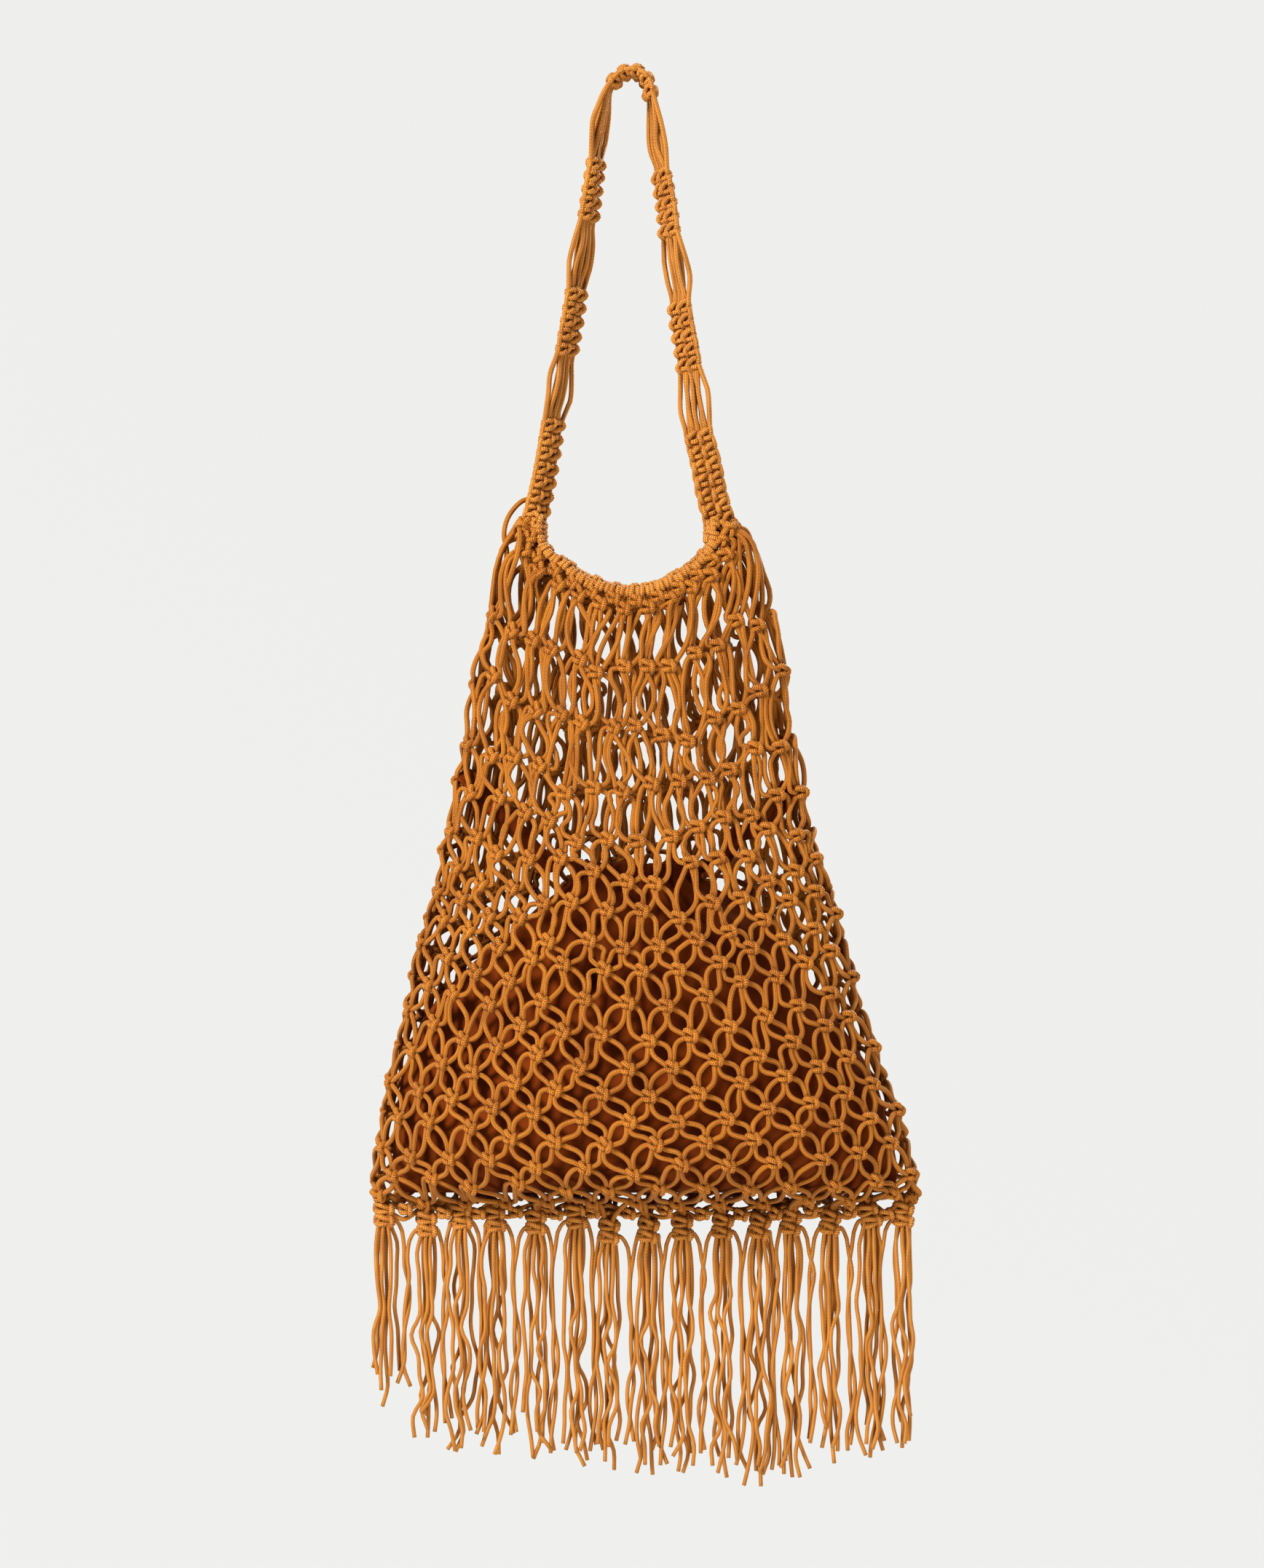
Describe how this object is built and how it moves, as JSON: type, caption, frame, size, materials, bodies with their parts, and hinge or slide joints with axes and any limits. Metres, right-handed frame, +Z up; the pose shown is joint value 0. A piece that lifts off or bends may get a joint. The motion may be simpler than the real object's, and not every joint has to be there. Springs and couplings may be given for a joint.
{
  "type": "mesh tote bag",
  "caption": "Knotted cord mesh tote bag with a long handle, a drawn-up cloth pouch inside and a tasselled lower edge, shown hanging by its handle.",
  "frame": {"origin": "underside of the handle's top, where a hook or peg carries the bag", "axes": "+Z up along the hang line, +X to the right as seen from the front, -Y out of the front face of the net"},
  "size_m": [0.32, 0.119, 0.822],
  "materials": {
    "handle": "matte",
    "rim_band": "matte",
    "net_front": "matte",
    "net_back": "matte",
    "pouch": "matte",
    "pouch_tie_left": "matte",
    "pouch_tie_right": "matte",
    "drawstring": "matte",
    "corner_loop_left": "matte",
    "corner_loop_right": "matte",
    "tassel_01": "matte",
    "tassel_02": "matte",
    "tassel_03": "matte",
    "tassel_04": "matte",
    "tassel_05": "matte",
    "tassel_06": "matte",
    "tassel_07": "matte",
    "tassel_08": "matte",
    "tassel_09": "matte",
    "tassel_10": "matte",
    "tassel_11": "matte",
    "tassel_12": "matte",
    "tassel_13": "matte",
    "tassel_14": "matte",
    "tassel_15": "matte"
  },
  "bodies": {
    "root": {"handle": "handle", "rim_band": "rim_band", "net_front": "net_front", "net_back": "net_back", "pouch": "pouch", "pouch_tie_left": "pouch_tie_left", "pouch_tie_right": "pouch_tie_right", "drawstring": "drawstring", "corner_loop_left": "corner_loop_left", "corner_loop_right": "corner_loop_right", "tassel_01": "tassel_01", "tassel_02": "tassel_02", "tassel_03": "tassel_03", "tassel_04": "tassel_04", "tassel_05": "tassel_05", "tassel_06": "tassel_06", "tassel_07": "tassel_07", "tassel_08": "tassel_08", "tassel_09": "tassel_09", "tassel_10": "tassel_10", "tassel_11": "tassel_11", "tassel_12": "tassel_12", "tassel_13": "tassel_13", "tassel_14": "tassel_14", "tassel_15": "tassel_15"}
  },
  "joints": []
}
